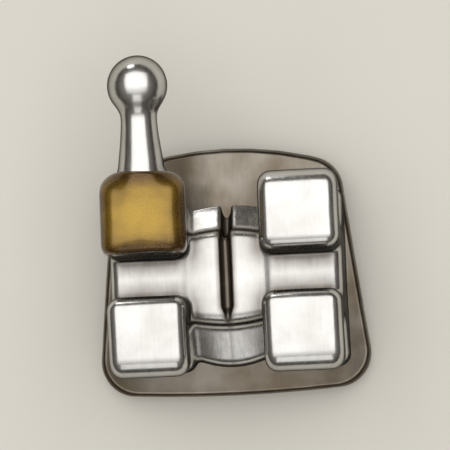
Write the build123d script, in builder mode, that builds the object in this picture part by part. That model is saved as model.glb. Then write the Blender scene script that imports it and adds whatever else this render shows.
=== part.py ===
from build123d import *
import os
from math import cos, radians, sin, sqrt

# Twin bracket for an upper right second premolar, in millimetres.
# Origin in the middle of the bonding surface: +X mesial, +Y gingival, +Z away from the tooth.

# Archwire slot, nominal .018 by .028 inch
SLOT_HEIGHT = 0.457
SLOT_DEPTH = 0.711
SLOT_LIP_ROUND = 0.18
TORQUE = 7.0
IN_OUT = 1.0

# Tie wings: two columns, each with an occlusal and a gingival wing
BODY_WIDTH = 2.85
WING_WIDTH = 0.97
WING_SPAN = 2.5
WING_FALL = 0.10
TIP_ROUND = 0.25
TIP_TUCK = 0.07
LIP_DROP = 0.05
LIP_ROUND = 0.18
UNDERCUT_RISE = 0.13
UNDERCUT_FACET = 0.13
EDGE_ROUND = 0.16

# Neck and foot under the wings, and the bridge between the two columns
NECK_HEIGHT = 1.24
ANKLE_DROP = 0.36
FOOT_HEIGHT = 2.2
TOE_ROUND = 0.18
BRIDGE_DROP = 0.05
BRIDGE_INSET = 0.04
BRIDGE_ROUND = 0.15
SCRIBE_WIDTH = 0.13
SCRIBE_DEPTH = 0.08

# Ball hook on the distal gingival wing
HOOK_REACH = 2.7
HOOK_RISE = 0.31
HOOK_LEAN = 6.0
HOOK_ROOT_DIAMETER = 0.62
HOOK_NECK_DIAMETER = 0.45
HOOK_BALL_DIAMETER = 0.74
HOOK_NECK_ROUND = 0.06

# Bonding pad, curved to the tooth both ways
PAD_HEIGHT = 3.05
PAD_OCCLUSAL_WIDTH = 3.45
PAD_GINGIVAL_WIDTH = 2.8
PAD_GINGIVAL_ARCH = 0.25
PAD_OCCLUSAL_ARCH = 0.06
PAD_CORNER = 0.42
TOOTH_RADIUS_ACROSS = 4.2
TOOTH_RADIUS_ALONG = 9.0
FOIL_THICKNESS = 0.12

# Woven bonding mesh, 80 wires to the inch
MESH_PITCH = 0.3175
MESH_WIRE = 0.11
MESH_THICKNESS = 0.18

# Enamel mark over the distal gingival wing
MARK_COAT = 0.04
MARK_SETBACK = 0.05
MARK_SKIRT = 0.33

# Places that follow from the sizes above, in the slot's own section:
# v runs gingivally, w outwards from the slot floor
slot_half = SLOT_HEIGHT / 2
tip_v = WING_SPAN / 2
lip_v = tip_v - TIP_TUCK
neck_v = NECK_HEIGHT / 2
foot_v = FOOT_HEIGHT / 2
shoulder_w = SLOT_DEPTH - WING_FALL
underside_slope = (UNDERCUT_RISE + LIP_DROP) / (lip_v - neck_v)
pad_front = MESH_THICKNESS + FOIL_THICKNESS
toe_w = pad_front - IN_OUT
buried_w = toe_w - IN_OUT
wing_x = BODY_WIDTH / 2 - WING_WIDTH / 2

tilt = radians(TORQUE)
slot_gingival = Vector(0, cos(tilt), -sin(tilt))
slot_outward = Vector(0, sin(tilt), cos(tilt))
section_plane = Plane(origin=(0, 0, IN_OUT), x_dir=slot_gingival, z_dir=(1, 0, 0))
slot_plane = Plane(origin=(0, 0, IN_OUT), x_dir=(1, 0, 0), z_dir=slot_outward)

# The tooth's surface is an arc across the tooth, turned about an axis behind it
tooth_plane = Plane.XY.offset(-TOOTH_RADIUS_ALONG)
tooth_axis = Axis((0, 0, -TOOTH_RADIUS_ALONG), (1, 0, 0))
tooth_arc_centre = (0, TOOTH_RADIUS_ALONG - TOOTH_RADIUS_ACROSS)
HALF_TURN = 180

# The pad's outline is drawn below the pad and carried up through it
pad_plane = Plane.XY.offset(-PAD_HEIGHT / 2)
count_across = int(PAD_HEIGHT / MESH_PITCH)
count_along = int(PAD_OCCLUSAL_WIDTH / MESH_PITCH) + 1

# The hook's axis starts inside the neck and leans out from the wing
lean = radians(HOOK_LEAN)
hook_direction = slot_gingival * cos(lean) + slot_outward * sin(lean)
hook_start = section_plane.from_local_coords((neck_v, HOOK_RISE, -wing_x))
hook_plane = Plane(origin=hook_start, x_dir=hook_direction, z_dir=(1, 0, 0))
root_radius = HOOK_ROOT_DIAMETER / 2
neck_radius = HOOK_NECK_DIAMETER / 2
ball_radius = HOOK_BALL_DIAMETER / 2
root_end = tip_v - neck_v - TIP_ROUND
hook_end = HOOK_REACH - neck_v
ball_centre = hook_end - ball_radius
ball_start = ball_centre - sqrt(ball_radius**2 - neck_radius**2)


def column_section(plane: Plane) -> Sketch:
    """Section of one column: slot, two wings with their undercuts, neck and foot."""
    with BuildSketch(plane) as section:
        with BuildLine():
            FilletPolyline(
                (0, 0),
                (slot_half, 0),
                (slot_half, SLOT_DEPTH),
                (tip_v, shoulder_w),
                (lip_v, -LIP_DROP),
                (neck_v + UNDERCUT_FACET, UNDERCUT_RISE - UNDERCUT_FACET * underside_slope),
                (neck_v, UNDERCUT_RISE - UNDERCUT_FACET),
                (neck_v, -ANKLE_DROP),
                (foot_v, toe_w),
                (foot_v, buried_w),
                (0, buried_w),
                radius=(
                    0,
                    SLOT_LIP_ROUND,
                    TIP_ROUND,
                    LIP_ROUND,
                    0,
                    0,
                    0,
                    TOE_ROUND,
                    0,
                ),
            )
            mirror(about=Plane.YZ)
        make_face()
    return section.sketch


def tooth_shell(inner: float, outer: float) -> Sketch:
    """Section of the layer between two heights above the bonding surface."""
    with BuildSketch(tooth_plane) as section:
        with Locations(tooth_arc_centre):
            Circle(TOOTH_RADIUS_ACROSS + outer)
            Circle(TOOTH_RADIUS_ACROSS + inner, mode=Mode.SUBTRACT)
        with Locations((0, TOOTH_RADIUS_ALONG)):
            Rectangle(PAD_OCCLUSAL_WIDTH + PAD_HEIGHT, TOOTH_RADIUS_ACROSS, mode=Mode.INTERSECT)
    return section.sketch


def pad_outline(plane: Plane) -> Sketch:
    """Outline of the pad: wide at the biting edge, arched at the gum."""
    low = -PAD_HEIGHT / 2
    high = PAD_HEIGHT / 2
    low_corner = (PAD_OCCLUSAL_WIDTH / 2, low + PAD_OCCLUSAL_ARCH)
    high_corner = (PAD_GINGIVAL_WIDTH / 2, high - PAD_GINGIVAL_ARCH)
    with BuildSketch(plane) as outline:
        with BuildLine():
            Line(low_corner, high_corner)
            mirror(about=Plane.YZ)
            ThreePointArc((-low_corner[0], low_corner[1]), (0, low), low_corner)
            ThreePointArc((-high_corner[0], high_corner[1]), (0, high), high_corner)
        make_face()
        fillet(outline.vertices(), PAD_CORNER)
    return outline.sketch


# Body: columns with rounded ends, bridge, scribe line and hook, seated on the pad.
# The lowest edge of each column end is buried in the pad, so it stays sharp.
with BuildPart() as bracket_body:
    for column_start in (-BODY_WIDTH / 2, BODY_WIDTH / 2 - WING_WIDTH):
        extrude(column_section(section_plane.offset(column_start)), amount=WING_WIDTH, dir=(1, 0, 0))
    column_ends = bracket_body.faces().filter_by(Axis.X)
    fillet(column_ends.edges().sort_by(Axis.Z)[len(column_ends):], EDGE_ROUND)

    with BuildSketch(section_plane.offset(-wing_x)):
        with BuildLine():
            FilletPolyline(
                (0, -BRIDGE_DROP),
                (neck_v - BRIDGE_INSET, -BRIDGE_DROP),
                (neck_v - BRIDGE_INSET, -ANKLE_DROP - BRIDGE_INSET),
                (foot_v - BRIDGE_INSET, toe_w - BRIDGE_INSET),
                (foot_v - BRIDGE_INSET, buried_w),
                (0, buried_w),
                radius=(BRIDGE_ROUND, 0, TOE_ROUND, 0),
            )
            mirror(about=Plane.YZ)
        make_face()
    extrude(amount=2 * wing_x)

    with BuildSketch(slot_plane.offset(-BRIDGE_DROP - SCRIBE_DEPTH)):
        Rectangle(SCRIBE_WIDTH, WING_SPAN)
    extrude(amount=2 * SCRIBE_DEPTH, mode=Mode.SUBTRACT)

    with BuildSketch(hook_plane) as hook_section:
        with BuildLine():
            Polyline(
                (hook_end, 0),
                (0, 0),
                (0, root_radius),
                (root_end, root_radius),
                (ball_start, neck_radius),
            )
            ThreePointArc((ball_start, neck_radius), (ball_centre, ball_radius), (hook_end, 0))
        make_face()
        ball_neck = hook_section.vertices().sort_by_distance((ball_start, neck_radius))[0]
        fillet(ball_neck, HOOK_NECK_ROUND)
    revolve(axis=Axis(hook_start, hook_direction))

    revolve(tooth_shell(-TOOTH_RADIUS_ACROSS / 2, pad_front), tooth_axis, HALF_TURN, mode=Mode.SUBTRACT)
bracket_body.part.label = "bracket_body"

# Foil: the pad's own layer, between the mesh and the body
with BuildPart() as base_foil:
    revolve(tooth_shell(MESH_THICKNESS, pad_front), tooth_axis, HALF_TURN)
    extrude(pad_outline(pad_plane), amount=PAD_HEIGHT, dir=(0, 0, 1), mode=Mode.INTERSECT)
base_foil.part.label = "base_foil"

# Mesh: wires across the tooth, and wires along it under the foil, sunk into each other where they cross
with BuildPart() as wires_along:
    with BuildSketch(pad_plane):
        with GridLocations(MESH_PITCH, 0, count_along, 1):
            Rectangle(MESH_WIRE, PAD_HEIGHT)
        add(pad_outline(Plane.XY), mode=Mode.INTERSECT)
    extrude(amount=PAD_HEIGHT)
    revolve(
        tooth_shell(MESH_THICKNESS - MESH_WIRE, MESH_THICKNESS), tooth_axis, HALF_TURN, mode=Mode.INTERSECT
    )

with BuildPart() as bonding_mesh:
    with BuildSketch(pad_plane):
        with GridLocations(0, MESH_PITCH, 1, count_across):
            Rectangle(PAD_OCCLUSAL_WIDTH, MESH_WIRE)
        add(pad_outline(Plane.XY), mode=Mode.INTERSECT)
    extrude(amount=PAD_HEIGHT)
    revolve(tooth_shell(0, MESH_WIRE), tooth_axis, HALF_TURN, mode=Mode.INTERSECT)
    add(wires_along.part)
bonding_mesh.part.label = "bonding_mesh"

# Enamel: a thin coat that follows the wing's rounded form down to a skirt line
with BuildPart() as identification_mark:
    with BuildSketch(section_plane.offset(-BODY_WIDTH / 2 - MARK_COAT)):
        with BuildLine():
            FilletPolyline(
                (slot_half, -LIP_DROP),
                (slot_half, SLOT_DEPTH),
                (tip_v, shoulder_w),
                (lip_v, -LIP_DROP),
                radius=(LIP_ROUND, SLOT_LIP_ROUND, TIP_ROUND, LIP_ROUND),
                close=True,
            )
        make_face()
        offset(amount=MARK_COAT)
    extrude(amount=WING_WIDTH + 2 * MARK_COAT)
    coat_ends = identification_mark.faces().filter_by(Axis.X)
    fillet(coat_ends.edges(), EDGE_ROUND + MARK_COAT)
    with BuildSketch(slot_plane.offset(MARK_SKIRT)):
        with Locations((-wing_x, slot_half + MARK_SETBACK)):
            Rectangle(BODY_WIDTH, WING_SPAN, align=(Align.CENTER, Align.MIN))
    extrude(amount=SLOT_DEPTH, mode=Mode.INTERSECT)
    add(bracket_body.part, mode=Mode.SUBTRACT)
identification_mark.part.label = "identification_mark"

os.makedirs("parts", exist_ok=True)
export_step(bracket_body.part, "parts/bracket_body.step")
export_step(base_foil.part, "parts/base_foil.step")
export_step(bonding_mesh.part, "parts/bonding_mesh.step")
export_step(identification_mark.part, "parts/identification_mark.step")
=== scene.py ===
import logging
import math
from abc import ABC, abstractmethod
from collections.abc import Callable
from dataclasses import dataclass
from enum import Enum
from typing import ClassVar, Protocol

import bpy
import numpy as np
from mathutils import Matrix, Vector


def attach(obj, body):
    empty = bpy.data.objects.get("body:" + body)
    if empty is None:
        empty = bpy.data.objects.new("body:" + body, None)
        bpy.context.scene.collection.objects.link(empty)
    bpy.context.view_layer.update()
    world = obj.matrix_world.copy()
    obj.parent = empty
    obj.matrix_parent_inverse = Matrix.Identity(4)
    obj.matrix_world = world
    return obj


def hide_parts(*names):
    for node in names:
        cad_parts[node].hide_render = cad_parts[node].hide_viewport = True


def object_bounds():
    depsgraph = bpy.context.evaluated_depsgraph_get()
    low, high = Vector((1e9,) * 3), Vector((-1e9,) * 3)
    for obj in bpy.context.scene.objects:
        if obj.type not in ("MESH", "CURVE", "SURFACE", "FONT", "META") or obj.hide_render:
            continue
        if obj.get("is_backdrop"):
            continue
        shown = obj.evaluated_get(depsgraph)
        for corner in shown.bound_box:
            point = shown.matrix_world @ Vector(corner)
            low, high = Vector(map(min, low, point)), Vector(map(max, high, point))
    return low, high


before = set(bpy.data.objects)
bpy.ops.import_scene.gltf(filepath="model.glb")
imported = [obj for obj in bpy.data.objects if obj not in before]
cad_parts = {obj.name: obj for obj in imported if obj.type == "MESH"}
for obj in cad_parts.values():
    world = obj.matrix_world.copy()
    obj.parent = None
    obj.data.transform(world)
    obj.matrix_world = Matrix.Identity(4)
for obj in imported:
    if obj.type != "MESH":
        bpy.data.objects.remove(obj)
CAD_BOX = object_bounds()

# A twin bracket for a premolar. Sizes are in millimetres, in the CAD's own frame:
# +X mesial, +Y gingival, +Z away from the tooth. Meshes are written in metres.

LOG = logging.getLogger("twin_bracket")
MM = 0.001
ROOT = "root"

Array = np.ndarray
Form = Callable[[Array, Array, Array], Array]
Socket = bpy.types.NodeSocket
Colour = tuple[float, float, float]
Ends = tuple[float, float, float, float]


class Piece(Enum):
    """The bracket's pieces, each named as the CAD node that it stands for."""

    BODY = "bracket_body"
    FOIL = "base_foil"
    MESH = "bonding_mesh"
    MARK = "identification_mark"


# Forms


def smooth_union(first: Array, second: Array, reach: float) -> Array:
    """Joins two forms with a fillet.

    The lower distance, less a quarter of the reach times the square of the share by which
    the two distances are closer together than the reach.

    Args:
        first: Signed distance to one form.
        second: Signed distance to the other form.
        reach: Difference at which the fillet ends.

    Returns:
        Signed distance to the joined form.
    """
    share = np.clip(1 - np.abs(first - second) / reach, 0, 1)
    return np.minimum(first, second) - share**2 * reach / 4


def smooth_overlap(first: Array, second: Array, reach: float) -> Array:
    """Keeps what two forms share, with a round along the edge: the union of their outsides, turned over."""
    return -smooth_union(-first, -second, reach)


def rounded_outline(corners: Array, radii: Array, steps: int = 14) -> Array:
    """Draws a closed outline with an arc at each corner.

    An arc's centre lies on its corner's bisector, at the radius over the sine of half the
    corner's angle, and its points turn evenly from one tangent point to the other.

    Args:
        corners: Corner points, one row each.
        radii: Radius at each corner.
        steps: Points on each arc.

    Returns:
        Points of the outline, one row each.
    """
    back = np.roll(corners, 1, axis=0) - corners
    ahead = np.roll(corners, -1, axis=0) - corners
    back /= np.linalg.norm(back, axis=1, keepdims=True)
    ahead /= np.linalg.norm(ahead, axis=1, keepdims=True)
    half = np.arccos(np.clip((back * ahead).sum(axis=1), -1, 1)) / 2
    bisector = (back + ahead) / np.linalg.norm(back + ahead, axis=1, keepdims=True)
    centre = corners + bisector * (radii / np.sin(half))[:, None]
    tangent = (radii / np.tan(half))[:, None]
    first = (corners + back * tangent - centre)[:, None]
    last = (corners + ahead * tangent - centre)[:, None]
    turn = (math.pi - 2 * half)[:, None, None]
    share = np.linspace(0, 1, steps)[None, :, None]
    arc = (np.sin((1 - share) * turn) * first + np.sin(share * turn) * last) / np.sin(turn)
    return (centre[:, None] + arc).reshape(-1, 2)


def outline_distance(outline: Array, across: Array, up: Array, batch: int = 4096) -> Array:
    """Measures how far points are from a closed outline.

    The distance is that to the nearest side. It is negative where a ray along the first
    axis crosses the outline an odd number of times.

    Args:
        outline: Points of the outline, one row each.
        across: First coordinate of the points.
        up: Second coordinate of the points.
        batch: Points worked out at a time.

    Returns:
        Signed distances, in the joint shape of the two coordinates.
    """
    across, up = np.broadcast_arrays(across, up)
    points = np.stack([across.ravel(), up.ravel()], axis=-1)
    run = np.roll(outline, -1, axis=0) - outline
    run_square = (run**2).sum(axis=1)
    run_up = np.where(run[:, 1] == 0, 1, run[:, 1])

    def measure(some: Array) -> Array:
        """Measures one batch of points.

        Args:
            some: Points, one row each.

        Returns:
            Their signed distances.
        """
        away = some[:, None] - outline
        share = np.clip((away * run).sum(axis=-1) / run_square, 0, 1)
        gap = away - share[..., None] * run
        straddles = (away[..., 1] < 0) != (away[..., 1] < run[:, 1])
        crossed = straddles & (away[..., 0] < run[:, 0] * away[..., 1] / run_up)
        side = np.where(crossed.sum(axis=1) % 2 == 1, -1, 1)
        return side * np.sqrt((gap**2).sum(axis=-1).min(axis=1))

    batches = np.array_split(points, max(1, len(points) // batch))
    return np.concatenate([measure(some) for some in batches]).reshape(across.shape)


@dataclass
class Section:
    """A closed outline's signed distance, kept in a fine table and read back by cubic interpolation."""

    outline: Array
    low: tuple[float, float] = (-1.6, -1.6)
    high: tuple[float, float] = (2.9, 1.1)
    step: float = 0.0125

    def __post_init__(self) -> None:
        """Fills the table once."""
        first, second = (np.arange(a, b, self.step) for a, b in zip(self.low, self.high))
        self.table = outline_distance(self.outline, first[:, None], second[None, :])

    def distance(self, across: Array, up: Array) -> Array:
        """Reads distances from the table.

        Each is the sum of the sixteen nearest entries, weighted on both axes by the cubic that
        goes through the entries with the slopes between their neighbours.

        Args:
            across: First coordinate of the points.
            up: Second coordinate of the points.

        Returns:
            Signed distances, in the joint shape of the two coordinates.
        """
        across, up = np.broadcast_arrays(across, up)
        total = np.zeros(across.shape)
        cells, weights = [], []
        for place, start, count in zip((across, up), self.low, self.table.shape):
            where = np.clip((place - start) / self.step, 1, count - 3)
            cell = np.floor(where).astype(int)
            t = where - cell
            cells.append(cell)
            weights.append(
                (
                    (-t + 2 * t**2 - t**3) / 2,
                    (2 - 5 * t**2 + 3 * t**3) / 2,
                    (t + 4 * t**2 - 3 * t**3) / 2,
                    (t**3 - t**2) / 2,
                )
            )
        for i in range(4):
            for j in range(4):
                total += weights[0][i] * weights[1][j] * self.table[cells[0] + i - 1, cells[1] + j - 1]
        return total


@dataclass(frozen=True)
class ToothForm:
    """The tooth's face: an arc across the tooth, turned about an axis behind it."""

    radius_across: float = 4.2
    radius_along: float = 9.0

    def rise(self, x: Array, y: Array, offset: Array) -> Array:
        """Gives the height of a layer above the bonding surface.

        The arc across the tooth gives the reach from the axis, and the height is the side
        of the right triangle that this reach and y leave, less the radius along the tooth.

        Args:
            x: Places across the tooth.
            y: Places along the tooth.
            offset: Height of the layer above the bonding surface.

        Returns:
            The layer's z.
        """
        arc = np.sqrt((self.radius_across + offset) ** 2 - x**2)
        reach = self.radius_along - self.radius_across + arc
        return np.sqrt(reach**2 - y**2) - self.radius_along

    def clearance(self, x: Array, y: Array, z: Array) -> Array:
        """Distance above the bonding surface: the reach from the arc's centre, less the radius across."""
        arc = np.hypot(y, z + self.radius_along) - (self.radius_along - self.radius_across)
        return np.hypot(x, arc) - self.radius_across


@dataclass(frozen=True)
class SlotFrame:
    """The slot's own axes: x along the slot, v gingivally and w outwards from the slot floor."""

    torque: float = 7.0
    in_out: float = 1.0

    def to_slot(self, points: Array) -> Array:
        """Turns points from the part's axes to the slot's: the way back of to_part.

        Args:
            points: Points in x, y and z, one row each.

        Returns:
            The points in x, v and w.
        """
        sine, cosine = math.sin(math.radians(self.torque)), math.cos(math.radians(self.torque))
        x, y, z = points.T
        lifted = z - self.in_out
        return np.stack([x, y * cosine - lifted * sine, y * sine + lifted * cosine], axis=-1)

    def to_part(self, points: Array) -> Array:
        """Turns points from the slot's axes to the part's.

        They turn by the torque about X and are lifted to the slot floor.

        Args:
            points: Points in x, v and w, one row each.

        Returns:
            The points in x, y and z.
        """
        sine, cosine = math.sin(math.radians(self.torque)), math.cos(math.radians(self.torque))
        x, v, w = points.T
        return np.stack([x, v * cosine + w * sine, self.in_out - v * sine + w * cosine], axis=-1)


TOOTH = ToothForm()
SLOT_FRAME = SlotFrame()


@dataclass(frozen=True)
class LevelSkin:
    """Wraps a form's zero level in quads.

    A moulding whose wings, bridge and hook run into each other in fillets is no function of
    two parameters, so its skin is found on a grid in space: one vertex for each cell that the
    surface crosses, at the mean of the crossings on its edges, one quad for each grid edge that it
    crosses, and then every vertex settled on to the surface along the form's slope.
    """

    pitch: float
    rounds: int = 4
    probe: float = 0.125
    least_slope: float = 0.2

    def wrap(self, form: Form, low: Array, high: Array) -> tuple[Array, Array, Array]:
        """Finds the skin of a form in a box.

        Args:
            form: Signed distance as a function of x, v and w.
            low: Lowest corner of the box.
            high: Highest corner of the box.

        Returns:
            Vertices, their outward normals, and quads of vertex numbers.
        """
        counts = np.ceil((high - low) / self.pitch).astype(int) + 1
        axes = [low[k] + self.pitch * np.arange(counts[k]) for k in range(3)]
        level = form(axes[0][:, None, None], axes[1][None, :, None], axes[2][None, None, :])
        level = np.broadcast_to(level, counts)
        points, numbers = self._crossings(level, low)
        quads = self._quads(level < 0, numbers)
        for _ in range(self.rounds):
            points, normals = self._settle(form, points)
            points = self._even_out(points, normals, quads)
        points, normals = self._settle(form, points)
        return points, normals, quads

    def _crossings(self, level: Array, low: Array) -> tuple[Array, Array]:
        """Puts a vertex in each cell that the surface crosses.

        Args:
            level: The form on the grid.
            low: The grid's first point.

        Returns:
            Vertices, and a grid of vertex numbers with -1 in empty cells.
        """
        corner = np.stack(np.meshgrid([0, 1], [0, 1], [0, 1], indexing="ij"), axis=-1).reshape(-1, 3)
        pairs = np.array(
            [(a, b) for a in range(8) for b in range(a) if abs(corner[a] - corner[b]).sum() == 1]
        )
        size = np.array(level.shape) - 1
        inside = level < 0
        filled = sum(
            inside[i : i + size[0], j : j + size[1], k : k + size[2]].astype(np.int8) for i, j, k in corner
        )
        crossed = (filled > 0) & (filled < 8)
        numbers = np.where(crossed, np.cumsum(crossed).reshape(crossed.shape) - 1, -1)
        cells = np.argwhere(crossed)
        values = level[tuple((cells[:, None] + corner).reshape(-1, 3).T)].reshape(-1, 8)
        start, end = values[:, pairs[:, 0]], values[:, pairs[:, 1]]
        cut = (start < 0) != (end < 0)
        share = np.where(cut, start / np.where(cut, start - end, 1), 0)[..., None]
        place = corner[pairs[:, 0]] + share * (corner[pairs[:, 1]] - corner[pairs[:, 0]])
        middle = (place * cut[..., None]).sum(axis=1) / cut.sum(axis=1, keepdims=True)
        return low + (cells + middle) * self.pitch, numbers

    def _quads(self, inside: Array, numbers: Array) -> Array:
        """Joins the four cells round each grid edge that the surface crosses.

        The corners go counter-clockwise, seen from outside.

        Args:
            inside: Which grid points lie inside the form.
            numbers: Grid of vertex numbers.

        Returns:
            Quads of vertex numbers.
        """
        found = []
        for axis in range(3):
            second, third = np.eye(3, dtype=int)[[(axis + 1) % 3, (axis + 2) % 3]]
            near = np.delete(inside, -1, axis=axis)
            edges = np.argwhere(near != np.delete(inside, 0, axis=axis))
            ring = np.stack([edges - second - third, edges - third, edges, edges - second], axis=1)
            quads = numbers[tuple(ring.reshape(-1, 3).T)].reshape(-1, 4)
            leaving = near[tuple(edges.T)]
            found.append(np.where(leaving[:, None], quads, quads[:, ::-1]))
        return np.concatenate(found)

    def _settle(self, form: Form, points: Array) -> tuple[Array, Array]:
        """Moves points on to the surface.

        The slope is measured a small share of the pitch to both sides. Each point goes along it by its
        distance over the slope's steepness, and by half a pitch at most.

        Args:
            form: Signed distance as a function of x, v and w.
            points: Points near the surface.

        Returns:
            Points on the surface, and the unit slopes there.
        """
        step = self.pitch * self.probe
        rises = [form(*(points + shift).T) - form(*(points - shift).T) for shift in step * np.eye(3)]
        slope = np.stack(rises, axis=-1) / (2 * step)
        steepness = np.linalg.norm(slope, axis=1, keepdims=True).clip(self.least_slope)
        reach = np.clip(form(*points.T)[:, None] / steepness, -self.pitch / 2, self.pitch / 2)
        return points - reach * slope / steepness, slope / steepness

    @staticmethod
    def _even_out(points: Array, normals: Array, quads: Array) -> Array:
        """Moves each vertex along the surface, half-way to the mean of its neighbours.

        Args:
            points: Vertices.
            normals: Unit normals at the vertices.
            quads: Quads of vertex numbers.

        Returns:
            The moved vertices.
        """
        ends = np.roll(quads, -1, axis=1).ravel()
        here = np.concatenate([quads.ravel(), ends])
        there = np.concatenate([ends, quads.ravel()])
        total = np.stack([np.bincount(here, points[there, k], len(points)) for k in range(3)], axis=-1)
        drift = total / np.bincount(here, minlength=len(points))[:, None] - points
        along = drift - (drift * normals).sum(axis=1, keepdims=True) * normals
        return points + along / 2


def make_piece(piece: Piece, points: Array, faces: list[list[int]]) -> bpy.types.Object:
    """Makes a smooth-shaded object from points in millimetres.

    Args:
        piece: The piece that the object is.
        points: Vertices in the part's frame.
        faces: Vertex numbers of each face, counter-clockwise from outside.

    Returns:
        The new object, at the origin.
    """
    name = f"{piece.value}_finished"
    mesh = bpy.data.meshes.new(name)
    mesh.from_pydata((points * MM).tolist(), [], faces)
    mesh.shade_smooth()
    made = bpy.data.objects.new(name, mesh)
    bpy.context.scene.collection.objects.link(made)
    return made


def keep_values(made: bpy.types.Object, name: str, values: Array) -> None:
    """Stores one number at each vertex, for the piece's finish to read."""
    layer = made.data.attributes.new(name, "FLOAT", "POINT")
    layer.data.foreach_set("value", values.astype(np.float32))


# Finishes


class Recipe:
    """The nodes of a finish, a light or the surroundings, with short ways to add and join them."""

    PRINCIPLED = "Principled BSDF"
    MIX_COLOURS = (6, 7)
    MIX_RESULT = 2

    def __init__(self, owner: bpy.types.ID, shader: str = PRINCIPLED) -> None:
        """Takes up the nodes of a material, a light or a world.

        Args:
            owner: What the nodes belong to.
            shader: Name of the node that the others feed.
        """
        owner.use_nodes = True
        self.tree = owner.node_tree
        self.shader = self.tree.nodes[shader]

    def add(self, kind: str, inputs: dict[str, object] | None = None, **settings: object) -> bpy.types.Node:
        """Adds a node.

        Args:
            kind: The node's type, without its ShaderNode prefix.
            inputs: Values or sockets for its inputs, by name.
            settings: Its other properties.

        Returns:
            The new node.
        """
        node = self.tree.nodes.new(f"ShaderNode{kind}")
        for name, value in settings.items():
            setattr(node, name, value)
        for name, value in (inputs or {}).items():
            self.feed(node.inputs[name], value)
        return node

    def feed(self, socket: Socket, value: object) -> None:
        """Joins another socket to this one, or sets its value.

        Args:
            socket: The input to feed.
            value: A socket, a number, or a colour with its alpha.
        """
        if isinstance(value, Socket):
            self.tree.links.new(value, socket)
        else:
            socket.default_value = value

    def give(self, inputs: dict[str, object]) -> None:
        """Feeds the shader's own inputs, by name."""
        for name, value in inputs.items():
            self.feed(self.shader.inputs[name], value)

    def millimetres(self, scale: tuple[float, float, float] = (1, 1, 1), turn: float = 0.0) -> Socket:
        """Object coordinates in millimetres.

        Args:
            scale: Further scale on each axis.
            turn: Turn about Z, in degrees.

        Returns:
            The coordinates' socket.
        """
        inputs = {
            "Vector": self.add("TexCoord").outputs["Object"],
            "Scale": [s / MM for s in scale],
            "Rotation": (0, 0, math.radians(turn)),
        }
        return self.add("Mapping", inputs).outputs["Vector"]

    def noise(self, where: Socket, scale: float, detail: float = 2.0) -> Socket:
        """Noise from 0 to 1 with so many blotches to the millimetre."""
        return self.add("TexNoise", {"Vector": where, "Scale": scale, "Detail": detail}).outputs["Fac"]

    def spread(self, value: Socket, ends: Ends, smooth: bool = False) -> Socket:
        """Maps a value from one range to another and holds it there.

        Args:
            value: The value.
            ends: From low, from high, to low and to high.
            smooth: Whether it eases in and out, or else goes in straight proportion.

        Returns:
            The mapped value.
        """
        names = ("From Min", "From Max", "To Min", "To Max")
        kind = "SMOOTHSTEP" if smooth else "LINEAR"
        inputs = {"Value": value, **dict(zip(names, ends))}
        return self.add("MapRange", inputs, interpolation_type=kind).outputs["Result"]

    def mix(self, share: Socket, low: object, high: object) -> Socket:
        """Mixes two colours.

        Args:
            share: How much there is of the second colour, from 0 to 1.
            low: The first colour, a socket or red, green and blue.
            high: The second colour, likewise.

        Returns:
            The mixed colour.
        """
        node = self.add("Mix", {"Factor": share}, data_type="RGBA")
        for number, colour in zip(self.MIX_COLOURS, (low, high)):
            self.feed(node.inputs[number], (*colour, 1.0) if isinstance(colour, tuple) else colour)
        return node.outputs[self.MIX_RESULT]

    def sum(self, *values: Socket) -> Socket:
        """Adds up values.

        Args:
            values: Two values or more.

        Returns:
            Their sum.
        """
        total = values[0]
        for value in values[1:]:
            node = self.add("Math", operation="ADD")
            self.feed(node.inputs[0], total)
            self.feed(node.inputs[1], value)
            total = node.outputs[0]
        return total

    def scaled(self, value: Socket, by: object) -> Socket:
        """Multiplies a value.

        Args:
            value: The value.
            by: A number or another value.

        Returns:
            The product.
        """
        node = self.add("Math", operation="MULTIPLY")
        self.feed(node.inputs[0], value)
        self.feed(node.inputs[1], by)
        return node.outputs[0]

    def stored(self, name: str) -> Socket:
        """Reads a number that the piece keeps at its vertices."""
        return self.add("Attribute", attribute_name=name).outputs["Fac"]

    def bump(self, height: Socket, depth: float) -> None:
        """Gives the shader a relief of so many millimetres."""
        node = self.add("Bump", {"Height": height, "Distance": depth * MM, "Strength": 1.0})
        self.give({"Normal": node.outputs["Normal"]})


class Finish(Protocol):
    """What every finish can do."""

    def material(self) -> bpy.types.Material:
        """Makes the finish's material."""


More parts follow.
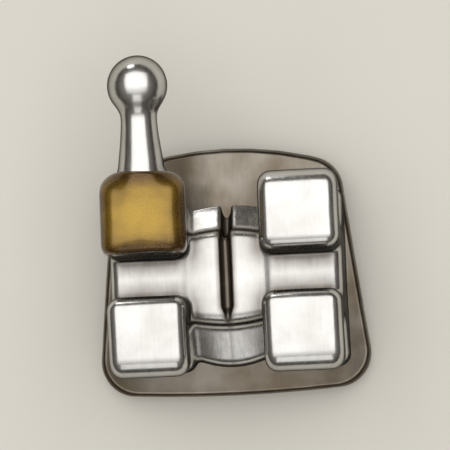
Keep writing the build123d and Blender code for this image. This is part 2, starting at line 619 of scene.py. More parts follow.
@dataclass(frozen=True)
class TumbledSteel:
    """Stainless steel polished by tumbling: bright where the media reach, duller in recesses, and darkened
    there by painted shade.
    """

    polished: Colour = (0.63, 0.62, 0.60)
    # Tone in recesses: duller steel, and painted shade where light is blocked.
    dull_and_shaded: Colour = (0.14, 0.12, 0.10)
    edge_tint: Colour = (0.05, 0.045, 0.035)
    polish_roughness: Ends = (0.1, 0.9, 0.36, 0.20)
    cloud_scale: float = 2.6
    cloud_tint: Ends = (0.3, 0.7, -0.16, 0.06)
    mark_scale: tuple[float, float, float] = (34.0, 3.0, 12.0)
    mark_turns: tuple[float, float] = (27.0, -38.0)
    mark_roughness: Ends = (0.7, 1.3, -0.03, 0.06)
    mark_depth: float = 0.0006
    ripple_scale: float = 9.0
    ripple_share: float = 1.4

    def material(self) -> bpy.types.Material:
        """Steel with tumbling marks that cross in two directions, a faint ripple, and painted shade in
        recesses.

        Returns:
            The material.
        """
        steel = bpy.data.materials.new("tumbled_steel")
        recipe = Recipe(steel)
        where = recipe.millimetres()
        polish_and_shade = recipe.stored("polish_and_shade")
        cloud = recipe.noise(where, self.cloud_scale, detail=3.0)
        turned = [recipe.millimetres(self.mark_scale, turn) for turn in self.mark_turns]
        marking = recipe.sum(*(recipe.noise(place, 1.0, detail=3.0) for place in turned))
        # Painted shade: the stored openness darkens the colour in corners, recesses and the scribe line.
        tint = recipe.sum(polish_and_shade, recipe.spread(cloud, self.cloud_tint))
        dull = recipe.spread(polish_and_shade, self.polish_roughness)
        ripple = recipe.scaled(recipe.noise(where, self.ripple_scale, detail=1.0), self.ripple_share)
        recipe.give(
            {
                "Base Color": recipe.mix(tint, self.dull_and_shaded, self.polished),
                "Metallic": 1.0,
                "Roughness": recipe.sum(dull, recipe.spread(marking, self.mark_roughness)),
                "Specular Tint": (*self.edge_tint, 1.0),
            }
        )
        recipe.bump(recipe.sum(marking, ripple), self.mark_depth)
        return steel


@dataclass(frozen=True)
class BrazedFoil:
    """Rolled stainless foil, straw-brown from the brazing furnace, with the mesh just printing through."""

    metal: Colour = (0.255, 0.228, 0.192)
    tint: Colour = (0.15, 0.12, 0.084)
    # Painted shade on the foil close to the body, where the wings shade it.
    body_shade_colour: Colour = (0.06, 0.045, 0.03)
    cloud_scale: float = 1.9
    cloud_tint: Ends = (0.35, 0.68, 0.0, 0.85)
    cloud_shade: Ends = (0.3, 0.7, 0.55, 1.0)
    grain_scale: tuple[float, float, float] = (42.0, 2.0, 42.0)
    grain_share: float = 0.5
    roughness: Ends = (0.6, 1.4, 0.27, 0.45)
    mesh_pitch: float = 0.3175
    relief: float = 0.002

    def material(self) -> bpy.types.Material:
        """Satin metal with rolling lines along Y, cloudy furnace tint, painted shade near the body and a
        faint print of the mesh.

        Returns:
            The material.
        """
        foil = bpy.data.materials.new("brazed_foil")
        recipe = Recipe(foil)
        where = recipe.millimetres()
        cloud = recipe.noise(where, self.cloud_scale, detail=4.0)
        grain = recipe.noise(recipe.millimetres(self.grain_scale), 1.0, detail=3.0)
        colour = recipe.mix(recipe.spread(cloud, self.cloud_tint), self.metal, self.tint)
        # Painted shade: darker close to the body, broken up by the cloud.
        heat = recipe.scaled(recipe.stored("heat"), recipe.spread(cloud, self.cloud_shade))
        recipe.give(
            {
                "Base Color": recipe.mix(heat, colour, self.body_shade_colour),
                "Metallic": 1.0,
                "Roughness": recipe.spread(recipe.sum(grain, cloud), self.roughness),
            }
        )
        # A wave texture of scale 1 repeats every tenth of pi.
        inputs = {"Vector": where, "Scale": math.pi / (10 * self.mesh_pitch), "Distortion": 0.0}
        prints = [recipe.add("TexWave", inputs, bands_direction=axis).outputs["Fac"] for axis in "XY"]
        recipe.bump(recipe.sum(recipe.scaled(grain, self.grain_share), *prints), self.relief)
        return foil


@dataclass(frozen=True)
class DrawnWire:
    """Matt drawn stainless wire, etched so that cement keys to it."""

    metal: Colour = (0.54, 0.52, 0.49)
    dark: Colour = (0.36, 0.34, 0.31)
    etch_scale: float = 46.0
    cloud_scale: float = 2.4
    shade: Ends = (0.75, 1.25, 0.0, 1.0)
    roughness: Ends = (0.3, 0.7, 0.34, 0.52)
    relief: float = 0.003

    def material(self) -> bpy.types.Material:
        """Grey metal with an etched grain in its colour, its roughness and its relief.

        Returns:
            The material.
        """
        wire = bpy.data.materials.new("drawn_wire")
        recipe = Recipe(wire)
        where = recipe.millimetres()
        etch = recipe.noise(where, self.etch_scale, detail=3.0)
        cloud = recipe.noise(where, self.cloud_scale, detail=3.0)
        share = recipe.spread(recipe.sum(etch, cloud), self.shade)
        recipe.give(
            {
                "Base Color": recipe.mix(share, self.dark, self.metal),
                "Metallic": 1.0,
                "Roughness": recipe.spread(etch, self.roughness),
            }
        )
        recipe.bump(etch, self.relief)
        return wire


@dataclass(frozen=True)
class GoldEnamel:
    """Gloss enamel with gold pigment, thinner and browner towards its rim, where painted shade darkens it
    further.
    """

    full: Colour = (0.36, 0.22, 0.02)
    # Dark brown at the rim: thinner enamel and painted shade.
    thin_rim_shade: Colour = (0.085, 0.038, 0.003)
    flake: Colour = (0.56, 0.38, 0.07)
    swirl_scale: float = 4.0
    swirl_depth: Ends = (0.3, 0.7, -0.22, 0.12)
    depth_shade: Ends = (0.05, 0.9, 0.0, 1.0)
    speck_scale: float = 70.0
    speck_share: Ends = (0.60, 0.75, 0.0, 0.35)
    roughness: Ends = (0.3, 0.7, 0.24, 0.38)
    pigment: float = 0.65
    gloss: float = 0.5
    gloss_roughness: float = 0.08
    relief: float = 0.002

    def material(self) -> bpy.types.Material:
        """Enamel whose pigment swirls, sparkles a little and pools away from the rim, with painted shade
        darkening the rim.

        Returns:
            The material.
        """
        enamel = bpy.data.materials.new("gold_enamel")
        recipe = Recipe(enamel)
        where = recipe.millimetres()
        swirl = recipe.noise(where, self.swirl_scale, detail=3.0)
        speck = recipe.noise(where, self.speck_scale, detail=1.0)
        depth = recipe.sum(recipe.stored("depth"), recipe.spread(swirl, self.swirl_depth))
        # Painted shade: the colour goes near-black brown towards the rim.
        pooled = recipe.mix(recipe.spread(depth, self.depth_shade), self.thin_rim_shade, self.full)
        recipe.give(
            {
                "Base Color": recipe.mix(recipe.spread(speck, self.speck_share), pooled, self.flake),
                "Metallic": self.pigment,
                "Roughness": recipe.spread(speck, self.roughness),
                "Coat Weight": self.gloss,
                "Coat Roughness": self.gloss_roughness,
            }
        )
        recipe.bump(swirl, self.relief)
        return enamel


# Pieces


class SubAssembly(ABC):
    """One piece of the bracket, which stands for the CAD node of its name."""

    piece: ClassVar[Piece]
    finish: Finish

    @abstractmethod
    def build(self) -> bpy.types.Object:
        """Builds the piece's mesh."""

    def dress(self, made: bpy.types.Object) -> None:
        """Gives the piece its finish and puts it in its CAD node's place.

        Args:
            made: The piece's object.
        """
        made.data.materials.append(self.finish.material())
        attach(made, ROOT)
        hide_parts(self.piece.value)


@dataclass
class BracketBody(SubAssembly):
    """The moulded body: two columns with their tie wings, the bridge, the scribe line and the ball hook."""

    piece: ClassVar[Piece] = Piece.BODY
    slot_height: float = 0.457
    slot_depth: float = 0.711
    slot_lip_round: float = 0.18
    body_width: float = 2.85
    wing_width: float = 0.97
    wing_span: float = 2.5
    wing_fall: float = 0.10
    wing_crown: float = 0.05
    tip_round: float = 0.25
    tip_tuck: float = 0.07
    lip_drop: float = 0.05
    lip_round: float = 0.18
    undercut_rise: float = 0.13
    undercut_facet: float = 0.13
    undercut_round: float = 0.10
    edge_round: float = 0.16
    neck_height: float = 1.24
    ankle_drop: float = 0.36
    ankle_round: float = 0.18
    foot_height: float = 2.2
    toe_round: float = 0.18
    bridge_drop: float = 0.05
    bridge_inset: float = 0.04
    bridge_round: float = 0.15
    bridge_bow: float = 0.10
    bridge_blend: float = 0.08
    scribe_radius: float = 0.06
    scribe_run_out: float = 0.25
    scribe_lift: float = 0.05
    scribe_stretch: float = 1.6
    scribe_lip: float = 0.03
    scribe_shadow: float = 0.08
    hook_reach: float = 2.7
    hook_rise: float = 0.31
    hook_lean: float = 6.0
    hook_root_diameter: float = 0.62
    hook_neck_diameter: float = 0.45
    hook_ball_diameter: float = 0.74
    hook_blend: float = 0.14
    ball_blend: float = 0.09
    pad_front: float = 0.30
    waviness: float = 0.0012
    waves: tuple[tuple[float, ...], ...] = (
        (5.3, 3.1, 0.0, 0.7),
        (-3.9, 4.7, 0.0, 2.1),
        (2.3, 0.0, 6.1, 0.0),
    )
    crisp: float = 0.02
    sunk: float = 0.07
    burial_spare: float = 1.3
    braze_drop: float = 0.09
    braze_reach: float = 0.16
    braze_lip: float = 0.008
    # Openness sets both the polishing and the painted shade in recesses.
    polish_and_shade_reaches: tuple[float, ...] = (0.08, 0.22, 0.48)
    polish_and_shade_power: float = 1.5
    skin: LevelSkin = LevelSkin(pitch=0.026)
    finish: TumbledSteel = TumbledSteel()

    def __post_init__(self) -> None:
        """Works out the places that follow from the sizes, and draws both sections once."""
        self.slot_half = self.slot_height / 2
        self.tip_v = self.wing_span / 2
        self.neck_v = self.neck_height / 2
        self.foot_v = self.foot_height / 2
        self.wing_x = (self.body_width - self.wing_width) / 2
        self.wing_v = (self.slot_half + self.tip_v) / 2
        self.toe_w = self.pad_front - SLOT_FRAME.in_out
        self.buried_w = self.toe_w - SLOT_FRAME.in_out
        self.column_section = Section(self._mirrored(*self._column_half()))
        self.bridge_section = Section(self._mirrored(*self._bridge_half()))

    def _column_half(self) -> tuple[Array, Array]:
        """Draws the gingival half of a column's section, from the slot floor down into the pad.

        Returns:
            Corners in v and w, and the radius at each.
        """
        lip_v = self.tip_v - self.tip_tuck
        fall = (self.undercut_rise + self.lip_drop) / (lip_v - self.neck_v)
        rows = [
            (self.slot_half, 0.0, self.crisp),
            (self.slot_half, self.slot_depth, self.slot_lip_round),
            (self.tip_v, self.slot_depth - self.wing_fall, self.tip_round),
            (lip_v, -self.lip_drop, self.lip_round),
            (self.neck_v, self.undercut_rise - self.undercut_facet * fall / 2, self.undercut_round),
            (self.neck_v, -self.ankle_drop, self.ankle_round),
            (self.foot_v, self.toe_w, self.toe_round),
            (self.foot_v, self.buried_w, self.crisp),
        ]
        return np.array(rows)[:, :2], np.array(rows)[:, 2]

    def _bridge_half(self) -> tuple[Array, Array]:
        """Draws the gingival half of the bridge's section, a little inside the column's neck and foot.

        Returns:
            Corners in v and w, and the radius at each.
        """
        neck_v, foot_v = self.neck_v - self.bridge_inset, self.foot_v - self.bridge_inset
        rows = [
            (neck_v, -self.bridge_drop, self.bridge_round),
            (neck_v, -self.ankle_drop - self.bridge_inset, self.ankle_round),
            (foot_v, self.toe_w - self.bridge_inset, self.toe_round),
            (foot_v, self.buried_w, self.crisp),
        ]
        return np.array(rows)[:, :2], np.array(rows)[:, 2]

    @staticmethod
    def _mirrored(corners: Array, radii: Array) -> Array:
        """Closes a half section with its own mirror image in v."""
        mirror = corners[::-1] * (-1, 1)
        return rounded_outline(np.concatenate([corners, mirror]), np.concatenate([radii, radii[::-1]]))

    def columns(self, x: Array, v: Array, w: Array) -> Array:
        """Distance to the two columns: their section carried along x, with its ends rounded.

        Section distance and distance past a column's end are both let in by the edge radius,
        joined as the legs of a right triangle where both are outside, and let out again.

        Args:
            x: Places along the slot.
            v: Places gingivally.
            w: Places outwards.

        Returns:
            Signed distances.
        """
        section = self.column_section.distance(v, w) + self.crown(x, v, w) + self.edge_round
        past_end = np.abs(np.abs(x) - self.wing_x) - self.wing_width / 2 + self.edge_round
        outside = np.hypot(np.maximum(section, 0), np.maximum(past_end, 0))
        return outside + np.minimum(np.maximum(section, past_end), 0) - self.edge_round

    def crown(self, x: Array, v: Array, w: Array) -> Array:
        """How far tumbling wore a wing's face down from its middle.

        The crown times the mean of the squares of the ways from the middle along x and v, each 1 at
        the face's edge, and faded out in the lower half of the wing.

        Args:
            x: Places along the slot.
            v: Places gingivally.
            w: Places outwards.

        Returns:
            Depths of wear.
        """
        along = (np.abs(x) - self.wing_x) / (self.wing_width / 2)
        over = (np.abs(v) - self.wing_v) / (self.tip_v - self.wing_v)
        near = np.clip(2 * w / self.slot_depth - 1, 0, 1)
        return self.wing_crown * near * (np.minimum(along**2, 1) + np.minimum(over**2, 1)) / 2

    def bridge(self, x: Array, v: Array, w: Array) -> Array:
        """Distance to the bridge: its section from column to column, less the scribe line."""
        cut = smooth_overlap(self.bridge_surface(x, v, w), -self.scribe(x, v, w), self.scribe_lip)
        return np.maximum(cut, np.abs(x) - self.wing_x)

    def bridge_surface(self, x: Array, v: Array, w: Array) -> Array:
        """Distance to the bridge's section, drawn in along v by the square of the way to a column."""
        valley = self.wing_x - self.wing_width / 2
        return self.bridge_section.distance(v * (1 + self.bridge_bow * (x / valley) ** 2), w)

    def scribe(self, x: Array, v: Array, w: Array) -> Array:
        """Distance to the scribe line's cutter, a rod bent over the bridge.

        The hypotenuse of x and the depth below the bridge, which is stretched, less the rod's radius.
        At the occlusal edge the rod slims by the root of the way to the edge, and lifts.

        Args:
            x: Places along the slot.
            v: Places gingivally.
            w: Places outwards.

        Returns:
            Signed distances.
        """
        depth = np.minimum(self.bridge_surface(x, v, w), 0) / self.scribe_stretch
        run_out = np.clip((v + self.neck_v) / self.scribe_run_out, 0, 1)
        return np.hypot(x, depth) - self.scribe_radius * np.sqrt(run_out) + self.scribe_lift * (1 - run_out)

    def hook(self, x: Array, v: Array, w: Array) -> Array:
        """Distance to the hook: a post and a ball, both turned about the hook's axis.

        The post's radius goes from root to neck in an S-curve, three squares of the share of the way
        less two cubes.

        Args:
            x: Places along the slot.
            v: Places gingivally.
            w: Places outwards.

        Returns:
            Signed distances.
        """
        sine, cosine = math.sin(math.radians(self.hook_lean)), math.cos(math.radians(self.hook_lean))
        along = (v - self.neck_v) * cosine + (w - self.hook_rise) * sine
        aside = (w - self.hook_rise) * cosine - (v - self.neck_v) * sine
        around = np.hypot(x + self.wing_x, aside)
        ball_radius = self.hook_ball_diameter / 2
        ball_centre = self.hook_reach - self.neck_v - ball_radius
        root_end = self.tip_v - self.neck_v - self.tip_round
        share = np.clip((along - root_end) / (ball_centre - ball_radius - root_end), 0, 1)
        ease = share**2 * (3 - 2 * share)
        radius = (self.hook_root_diameter + (self.hook_neck_diameter - self.hook_root_diameter) * ease) / 2
        post = np.maximum(around - radius, np.maximum(along - ball_centre, -along))
        ball = np.hypot(around, along - ball_centre) - ball_radius
        return smooth_union(post, ball, self.ball_blend)

    def seat(self, x: Array, v: Array, w: Array) -> Array:
        """Distance above the pad's front, which follows the tooth.

        Args:
            x: Places along the slot.
            v: Places gingivally.
            w: Places outwards.

        Returns:
            Signed distances.
        """
        x, v, w = np.broadcast_arrays(x, v, w)
        part = SLOT_FRAME.to_part(np.stack([x, v, w], axis=-1).reshape(-1, 3))
        return TOOTH.clearance(*part.T).reshape(x.shape) - self.pad_front

    def wings(self, x: Array, v: Array, w: Array) -> Array:
        """Distance to the columns with the hook run into its wing."""
        return smooth_union(self.columns(x, v, w), self.hook(x, v, w), self.hook_blend)

    def form(self, x: Array, v: Array, w: Array) -> Array:
        """Distance to the whole moulding, with a braze fillet at its foot, cut off just inside the pad.

        Three crossing sine waves, far longer than they are high, stand for the slight waviness that
        moulding and tumbling leave.

        Args:
            x: Places along the slot.
            v: Places gingivally.
            w: Places outwards.

        Returns:
            Signed distances.
        """
        seat = self.seat(x, v, w)
        whole = smooth_union(self.wings(x, v, w), self.bridge(x, v, w), self.bridge_blend)
        brazed = smooth_union(whole, seat + self.braze_drop, self.braze_reach)
        brazed = np.maximum(brazed, whole - self.braze_lip)
        wave = sum(np.sin(a * x + b * v + c * w + start) for a, b, c, start in self.waves)
        return np.maximum(brazed + self.waviness * (wave + len(self.waves)), -seat - self.sunk)

    def openness(self, points: Array, normals: Array) -> Array:
        """How freely tumbling media reach each point, also used as painted shade: an ambient-occlusion
        estimate.

        The mean, over three distances out along the normal, of the clearance there over that
        distance, to a power: 1 on a free face and near 0 in a corner. In the scribe line it is 0, and
        it comes up in proportion beside it.

        Args:
            points: Points on the skin.
            normals: Unit normals there.

        Returns:
            Numbers from 0 to 1.
        """
        shares = []
        for reach in self.polish_and_shade_reaches:
            x, v, w = (points + normals * reach).T
            clear = np.minimum(self.form(x, v, w), self.seat(x, v, w))
            shares.append(np.clip(clear / reach, 0, 1))
        cut = np.clip(self.scribe(*points.T) / self.scribe_shadow, 0, 1)
        return np.mean(shares, axis=0) ** self.polish_and_shade_power * cut

    def build(self) -> bpy.types.Object:
        """Wraps the moulding and keeps its openness, which its finish reads for the polishing and for
        painted shade.

        Returns:
            The body's object.
        """
        margin = 3 * self.skin.pitch
        ball_w = self.hook_rise + self.hook_reach * math.sin(math.radians(self.hook_lean))
        top = ball_w + self.hook_ball_diameter / 2
        low = np.array([-self.body_width / 2, -self.tip_v, self.buried_w / self.burial_spare]) - margin
        high = np.array([self.body_width / 2, self.hook_reach, top]) + margin
        points, normals, quads = self.skin.wrap(self.form, low, high)
        made = make_piece(self.piece, SLOT_FRAME.to_part(points), quads.tolist())
        # The stored openness is both the polishing reach and painted shade.
        keep_values(made, "polish_and_shade", self.openness(points, normals))
        return made


@dataclass
class IdentificationMark(SubAssembly):
    """A drop of gold enamel over the distal gingival wing."""

    piece: ClassVar[Piece] = Piece.MARK
    body: BracketBody
    coat: float = 0.034
    swell: float = 0.045
    setback: float = 0.05
    skirt: float = 0.36
    overhang: float = 0.03
    sunk: float = 0.012
    rim_round: float = 0.05
    rim_width: float = 0.24
    rim_depth: float = 0.1
    pool_power: float = 0.7
    edge_waves: tuple[tuple[float, ...], ...] = ((0.022, 7.0, 1.1), (0.016, 11.0, 0.4))
    margin: float = 0.08
    skin: LevelSkin = LevelSkin(pitch=0.015)
    finish: GoldEnamel = GoldEnamel()

    def field_edge(self, x: Array, v: Array, w: Array) -> Array:
        """Distance outside the painted field: past the slot lip, the wing's tip or the skirt line.

        The lines are laid by hand, so a sine wave along x and one along v move them, the skirt by the
        whole sum, the tip by half of it and the lip by a third.

        Args:
            x: Places along the slot.
            v: Places gingivally.
            w: Places outwards.

        Returns:
            Signed distances.
        """
        rows = zip(self.edge_waves, (x, v))
        wave = sum(height * np.sin(pace * place + start) for (height, pace, start), place in rows)
        lip = self.body.slot_half + self.setback - v
        tip = v - self.body.tip_v - self.overhang + wave / 2
        return np.maximum(np.maximum(lip + wave / 3, tip), np.maximum(self.skirt + wave - w, x))

    def pool(self, x: Array, v: Array) -> Array:
        """How far the wet enamel drew together: a parabola along x times one along v.

        Args:
            x: Places along the slot.
            v: Places gingivally.

        Returns:
            Numbers from 0 at the wing's edges to 1 in the middle of its face.
        """
        along = (x + self.body.wing_x) / (self.body.wing_width / 2)
        over = (v - self.body.wing_v) / (self.body.tip_v - self.body.wing_v)
        return np.clip(1 - along**2, 0, 1) * np.clip(1 - over**2, 0, 1)

    def form(self, x: Array, v: Array, w: Array) -> Array:
        """Distance to the enamel: the layer just outside the wing, with a round rim.

        The layer is thicker in the middle of the face, by the swell times the pool.

        Args:
            x: Places along the slot.
            v: Places gingivally.
            w: Places outwards.

        Returns:
            Signed distances.
        """
        wing = self.body.wings(x, v, w)
        layer = wing - self.coat - self.swell * self.pool(x, v)
        drop = smooth_overlap(layer, self.field_edge(x, v, w), self.rim_round)
        return np.maximum(drop, -wing - self.sunk)

    def build(self) -> bpy.types.Object:
        """Wraps the enamel and keeps its depth for the finish.

        The depth is the way in from the field's edge, times a power of the pool that starts a little
        above nothing. The finish also reads it as painted shade, darker towards the rim.

        Returns:
            The mark's object.
        """
        body = self.body
        low = np.array([-body.body_width / 2, body.slot_half, self.skirt]) - self.margin
        high = np.array([body.wing_width - body.body_width / 2, body.tip_v, body.slot_depth]) + self.margin
        points, _, quads = self.skin.wrap(self.form, low, high)
        made = make_piece(self.piece, SLOT_FRAME.to_part(points), quads.tolist())
        inside = np.clip(-self.field_edge(*points.T) / self.rim_width, 0, 1)
        pooled = self.pool(*points.T[:2]) ** self.pool_power
        keep_values(made, "depth", inside * (self.rim_depth + (1 - self.rim_depth) * pooled))
        return made


@dataclass
class Pad:
    """Outline that the foil and the mesh share: wide at the biting edge, arched at the gum."""

    height: float = 3.05
    occlusal_width: float = 3.45
    gingival_width: float = 2.8
    gingival_arch: float = 0.25
    occlusal_arch: float = 0.06
    corner: float = 0.42
    arch_points: int = 9
    arch_round: float = 0.3
    arc_steps: int = 24
    mesh_thickness: float = 0.18
    foil_thickness: float = 0.12

    def outline(self, count: int) -> Array:
        """Draws the outline counter-clockwise.

        The two arches are parabolas between the corners. The corners are rounded, and the
        points are then spread evenly along the whole length.

        Args:
            count: Number of points.

        Returns:
            Points in x and y.
        """
        arch = np.linspace(-1, 1, self.arch_points)
        low = np.stack(
            [arch * self.occlusal_width / 2, self.occlusal_arch * arch**2 - self.height / 2], axis=-1
        )
        high = np.stack(
            [-arch * self.gingival_width / 2, self.height / 2 - self.gingival_arch * arch**2], axis=-1
        )
        corners = np.concatenate([low, high])
        radii = np.full(len(corners), self.arch_round)
        radii[[0, self.arch_points - 1, self.arch_points, -1]] = self.corner
        drawn = rounded_outline(corners, radii, self.arc_steps)
        closed = np.concatenate([drawn, drawn[:1]])
        length = np.concatenate([[0], np.cumsum(np.linalg.norm(np.diff(closed, axis=0), axis=1))])
        even = np.linspace(0, length[-1], count, endpoint=False)
        return np.stack([np.interp(even, length, closed[:, k]) for k in range(2)], axis=-1)


@dataclass
class BaseFoil(SubAssembly):
    """The contoured foil that the body is brazed to."""

    piece: ClassVar[Piece] = Piece.FOIL
    pad: Pad
    body: BracketBody
    # How fast the painted shade near the body falls off.
    body_shade_reach: float = 0.14
    around: int = 320
    inward: int = 36
    pole_share: float = 0.02
    rim_share: float = 0.985
    rim_steps: int = 7
    rim_round: float = 0.035
    finish: BrazedFoil = BrazedFoil()

    def profile(self) -> tuple[Array, Array]:
        """Profile from the middle of the front, round the rim, to the middle of the back.

        Returns:
            Distance from the middle as a share of the way to the rim, with the inset of the rounded
            rim in millimetres after it, and the height above the bonding surface.
        """
        shares = np.linspace(self.pole_share, self.rim_share, self.inward)
        turn = np.linspace(0, math.pi / 2, self.rim_steps)
        inset = self.rim_round * (1 - np.sin(turn))
        drop = self.rim_round * (1 - np.cos(turn))
        top, floor = self.pad.mesh_thickness + self.pad.foil_thickness, self.pad.mesh_thickness
        inset_all = np.concatenate([np.zeros(self.inward), inset, inset[::-1], np.zeros(self.inward)])
        share_all = np.concatenate([shares, np.ones(2 * self.rim_steps), shares[::-1]])
        level = np.concatenate(
            [np.full(self.inward, top), top - drop, floor + drop[::-1], np.full(self.inward, floor)]
        )
        return np.stack([share_all, inset_all], axis=-1), level

    def build(self) -> bpy.types.Object:
        """Carries the profile round the outline.

        A point is the outline's point, drawn in to the middle by the profile's share and
        inset, at the height of its layer above the tooth. Both ends close in a pole. The painted shade that
        the finish reads falls off from the body as an exponential of the gap over its reach.

        Returns:
            The foil's object.
        """
        outline = self.pad.outline(self.around)
        radius = np.linalg.norm(outline, axis=1)
        inward, level = self.profile()
        scale = inward[:, :1] - inward[:, 1:] / radius
        x, y = scale * outline[:, 0], scale * outline[:, 1]
        rows = np.stack([x, y, TOOTH.rise(x, y, level[:, None])], axis=-1).reshape(-1, 3)
        poles = np.array([[0, 0, TOOTH.rise(0.0, 0.0, level[k])] for k in (0, -1)])
        numbers = np.arange(len(rows)).reshape(len(level), self.around)
        ahead = np.roll(numbers, -1, axis=1)
        quads = np.stack([numbers[:-1], numbers[1:], ahead[1:], ahead[:-1]], axis=-1).reshape(-1, 4)
        front = np.stack([np.full(self.around, len(rows)), numbers[0], ahead[0]], axis=-1)
        back = np.stack([np.full(self.around, len(rows) + 1), ahead[-1], numbers[-1]], axis=-1)
        points = np.concatenate([rows, poles])
        made = make_piece(self.piece, points, quads.tolist() + front.tolist() + back.tolist())
        gap = np.maximum(self.body.form(*SLOT_FRAME.to_slot(points).T), 0)
        # Painted shade on the foil, strongest next to the body.
        keep_values(made, "heat", np.exp(-gap / self.body_shade_reach))
        return made


class Lay(Enum):
    """Which way a set of mesh wires runs: the axis along the wire."""

    ACROSS = 0
    ALONG = 1


@dataclass
class BondingMesh(SubAssembly):
    """Plain-woven wire mesh on the tooth side of the foil."""

    piece: ClassVar[Piece] = Piece.MESH
    pad: Pad
    pitch: float = 0.3175
    wire: float = 0.11
    trim: float = 0.045
    pressed: float = 0.16
    outline_points: int = 1440
    stations: int = 121
    sides: int = 12
    finish: DrawnWire = DrawnWire()

    def places(self, lay: Lay) -> Array:
        """Places of a set's wires across their run: a pitch apart, evenly about the middle.

        Args:
            lay: Which way the wires run.

        Returns:
            One place for each wire.
        """
        if lay is Lay.ACROSS:
            count = int(self.pad.height / self.pitch)
        else:
            count = int(self.pad.occlusal_width / self.pitch) + 1
        return (np.arange(count) - (count - 1) / 2) * self.pitch

    def ends(self, lay: Lay) -> tuple[Array, Array]:
        """Finds where the wires lie and where the outline cuts them off.

        Args:
            lay: Which way the wires run.

        Returns:
            Each wire's place across its run, and its two ends along its run.
        """
        outline = self.pad.outline(self.outline_points)
        places = self.places(lay)
        if lay is Lay.ACROSS:
            right = outline[outline[:, 0] > 0]
            right = right[np.argsort(right[:, 1])]
            reach = np.interp(places + np.sign(places) * self.wire / 2, right[:, 1], right[:, 0])
            return places, np.stack([self.trim - reach, reach - self.trim], axis=-1)
        widest = outline[np.argmax(outline[:, 0]), 1]
        right = outline[outline[:, 0] >= 0]
        limits = []
        for chain in (right[right[:, 1] <= widest], right[right[:, 1] >= widest]):
            chain = chain[np.argsort(chain[:, 0])]
            limits.append(np.interp(np.abs(places) + self.wire / 2, chain[:, 0], chain[:, 1]))
        return places, np.stack([limits[0] + self.trim, limits[1] - self.trim], axis=-1)

    def tubes(self, lay: Lay) -> tuple[Array, list[list[int]]]:
        """Carries a circle along every wire of one set.

        A wire's path rises and falls as a cosine that turns over at each crossing, on the tooth's
        contour, and goes up to the foil where the cut edge is pressed. The circle stands square to the
        path, on its normal and its binormal.

        Args:
            lay: Which way the wires run.

        Returns:
            Vertices, and faces with both ends closed.
        """
        places, limits = self.ends(lay)
        share = np.linspace(0, 1, self.stations)
        run = limits[:, :1] + (limits[:, 1:] - limits[:, :1]) * share
        place = np.broadcast_to(places[:, None], run.shape)
        others = self.places(Lay(1 - lay.value))
        crossing = (run - others[0]) / self.pitch
        turn = math.pi * (crossing + np.arange(len(places))[:, None])
        swing = (self.pad.mesh_thickness - self.wire) / 2
        sign = 1 if lay is Lay.ACROSS else -1
        woven = self.pad.mesh_thickness / 2 + sign * swing * np.cos(turn)
        to_end = np.minimum(run - limits[:, :1], limits[:, 1:] - run) / self.pressed
        press = np.clip(1 - to_end, 0, 1) ** 2
        level = woven + press * (self.pad.mesh_thickness - self.wire / 2 - woven)
        x, y = (run, place) if lay is Lay.ACROSS else (place, run)
        path = np.stack([x, y, TOOTH.rise(x, y, level)], axis=-1)
        tangent = np.gradient(path, axis=1)
        tangent /= np.linalg.norm(tangent, axis=-1, keepdims=True)
        side = np.eye(3)[1 - lay.value]
        binormal = side - (tangent * side).sum(axis=-1, keepdims=True) * tangent
        binormal /= np.linalg.norm(binormal, axis=-1, keepdims=True)
        normal = np.cross(tangent, binormal)
        angle = np.linspace(0, 2 * math.pi, self.sides, endpoint=False)[:, None]
        circle = np.cos(angle) * binormal[..., None, :] + np.sin(angle) * normal[..., None, :]
        rings = path[..., None, :] + circle * self.wire / 2
        numbers = np.arange(rings[..., 0].size).reshape(rings.shape[:3])
        ahead = np.roll(numbers, -1, axis=2)
        walls = np.stack([numbers[:, :-1], ahead[:, :-1], ahead[:, 1:], numbers[:, 1:]], axis=-1)
        caps = np.concatenate([numbers[:, 0, ::-1], numbers[:, -1]])
        return rings.reshape(-1, 3), walls.reshape(-1, 4).tolist() + caps.tolist()

    def build(self) -> bpy.types.Object:
        """Puts the two sets of wires together as one piece.

        Returns:
            The mesh's object.
        """
        across, across_faces = self.tubes(Lay.ACROSS)
        along, along_faces = self.tubes(Lay.ALONG)
        later = [[number + len(across) for number in face] for face in along_faces]
        return make_piece(self.piece, np.concatenate([across, along]), across_faces + later)


# Studio


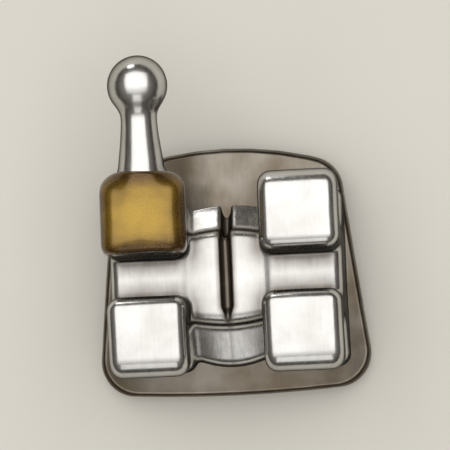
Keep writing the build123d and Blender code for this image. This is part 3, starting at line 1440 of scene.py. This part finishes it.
@dataclass
class Studio:
    """Pale floor, a large soft light overhead, two small ones, dim surroundings and the camera."""

    floor_colour: Colour = (0.73, 0.705, 0.64)
    floor_width: float = 600.0
    floor_cells: int = 8
    floor_roughness: float = 0.8
    floor_gloss: float = 0.2
    mottle_scale: float = 0.35
    mottle_shade: float = 0.985
    light_distance: float = 120.0
    overhead_width: float = 225.0
    overhead_lean: float = 13.0
    overhead_power: float = 0.225
    overhead_fade: Ends = (0.10, 0.42, 0.45, 1.05)
    fill_width: float = 64.0
    fill_lean: float = -49.0
    fill_power: float = 0.012
    glint_width: float = 34.0
    glint_height: float = 20.0
    glint_lean: float = 83.5
    glint_turn: float = 16.0
    glint_power: float = 0.010
    horizon: Colour = (0.05, 0.043, 0.036)
    zenith: Colour = (0.36, 0.345, 0.325)
    dusk: float = 0.10
    lens: float = 400.0
    view_width: float = 5.5
    from_right: float = 4.0
    from_above: float = 2.0
    roll: float = 3.0
    clip: tuple[float, float] = (0.1, 40.0)

    def floor(self, height: float) -> None:
        """Lays the floor as a flat grid with faint mottling.

        Args:
            height: The floor's z in metres.
        """
        place = np.linspace(-0.5, 0.5, self.floor_cells + 1) * self.floor_width * MM
        x, y = np.meshgrid(place, place)
        mesh = bpy.data.meshes.new("floor")
        numbers = np.arange(x.size).reshape(x.shape)
        quads = np.stack([numbers[:-1, :-1], numbers[:-1, 1:], numbers[1:, 1:], numbers[1:, :-1]], axis=-1)
        points = np.stack([x, y, np.full_like(x, height)], axis=-1)
        mesh.from_pydata(points.reshape(-1, 3).tolist(), [], quads.reshape(-1, 4).tolist())
        made = bpy.data.objects.new("floor", mesh)
        bpy.context.scene.collection.objects.link(made)
        pale = bpy.data.materials.new("pale_floor")
        recipe = Recipe(pale)
        cloud = recipe.noise(recipe.millimetres(), self.mottle_scale)
        shade = tuple(self.mottle_shade * c for c in self.floor_colour)
        recipe.give(
            {
                "Base Color": recipe.mix(cloud, shade, self.floor_colour),
                "Roughness": self.floor_roughness,
                "Specular IOR Level": self.floor_gloss,
            }
        )
        mesh.materials.append(pale)
        made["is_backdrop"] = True

    def hang(
        self, name: str, size: tuple[float, float], power: float, lean: float, turn: float = 0.0
    ) -> bpy.types.Light:
        """Hangs a soft light that faces the bracket.

        Args:
            name: The light's name.
            size: Its width and height.
            power: Its power in watts.
            lean: How far it stands from overhead towards +Y, in degrees.
            turn: How far it is then swung about Z, from +Y towards -X, in degrees.

        Returns:
            The light's data.
        """
        lamp = bpy.data.lights.new(name, "AREA")
        lamp.shape = "RECTANGLE"
        lamp.size, lamp.size_y = (length * MM for length in size)
        lamp.energy = power
        made = bpy.data.objects.new(name, lamp)
        made.rotation_euler = (-math.radians(lean), 0, math.radians(turn))
        made.location = made.rotation_euler.to_matrix().col[2] * self.light_distance * MM
        bpy.context.scene.collection.objects.link(made)
        return lamp

    def light(self) -> None:
        """Hangs a large light overhead, a fill on the biting side and a low, small glint on the gum side.

        The large light is dimmer at one end along Y, in a smooth step.
        """
        overhead = (self.overhead_width, self.overhead_width)
        lamp = self.hang("soft_overhead", overhead, self.overhead_power, self.overhead_lean)
        recipe = Recipe(lamp, "Emission")
        place = recipe.add("NewGeometry").outputs["Parametric"]
        height = recipe.add("SeparateXYZ", {"Vector": place}).outputs["Y"]
        recipe.give({"Strength": recipe.spread(height, self.overhead_fade, smooth=True)})
        self.hang("soft_fill", (self.fill_width, self.fill_width), self.fill_power, self.fill_lean)
        glint = (self.glint_width, self.glint_height)
        self.hang("soft_glint", glint, self.glint_power, self.glint_lean, self.glint_turn)

    def surround(self) -> None:
        """Dims the surroundings: a dark horizon, brighter in proportion to height above a low band."""
        world = bpy.data.worlds.new("dim_surround")
        recipe = Recipe(world, "Background")
        place = recipe.add("TexCoord").outputs["Generated"]
        height = recipe.add("SeparateXYZ", {"Vector": place}).outputs["Z"]
        rise = recipe.spread(height, (self.dusk, 1.0, 0.0, 1.0))
        recipe.give({"Color": recipe.mix(rise, self.horizon, self.zenith)})
        bpy.context.scene.world = world

    def camera(self, target: Vector) -> None:
        """Aims a long lens at the bracket's front, with the gum side up.

        Args:
            target: The middle of the view, in metres.
        """
        lens = bpy.data.cameras.new("camera")
        lens.lens = self.lens
        distance = self.view_width * MM * self.lens / lens.sensor_width
        lens.clip_start, lens.clip_end = (distance * share for share in self.clip)
        made = bpy.data.objects.new("camera", lens)
        right, above = math.radians(self.from_right), math.radians(self.from_above)
        back = Vector((math.sin(right), math.sin(above), math.cos(right) * math.cos(above))).normalized()
        roll = math.radians(self.roll)
        side = Vector((math.sin(roll), math.cos(roll), 0)).cross(back).normalized()
        up = back.cross(side)
        made.location = target + back * distance
        made.rotation_mode = "QUATERNION"
        made.rotation_quaternion = Matrix((side, up, back)).transposed().to_quaternion()
        bpy.context.scene.collection.objects.link(made)
        bpy.context.scene.camera = made


def main() -> None:
    """Builds the bracket's pieces and the studio round them."""
    logging.basicConfig(level=logging.INFO, format="%(name)s %(message)s")
    bpy.context.scene.view_settings.view_transform = "Standard"
    pad = Pad()
    body = BracketBody()
    for part in (body, IdentificationMark(body), BaseFoil(pad, body), BondingMesh(pad)):
        made = part.build()
        part.dress(made)
        LOG.info("%s: %d faces", made.name, len(made.data.polygons))
    low, high = CAD_BOX
    studio = Studio()
    studio.floor(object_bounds()[0].z)
    studio.light()
    studio.surround()
    studio.camera((low + high) / 2)


if __name__ == "__main__":
    main()
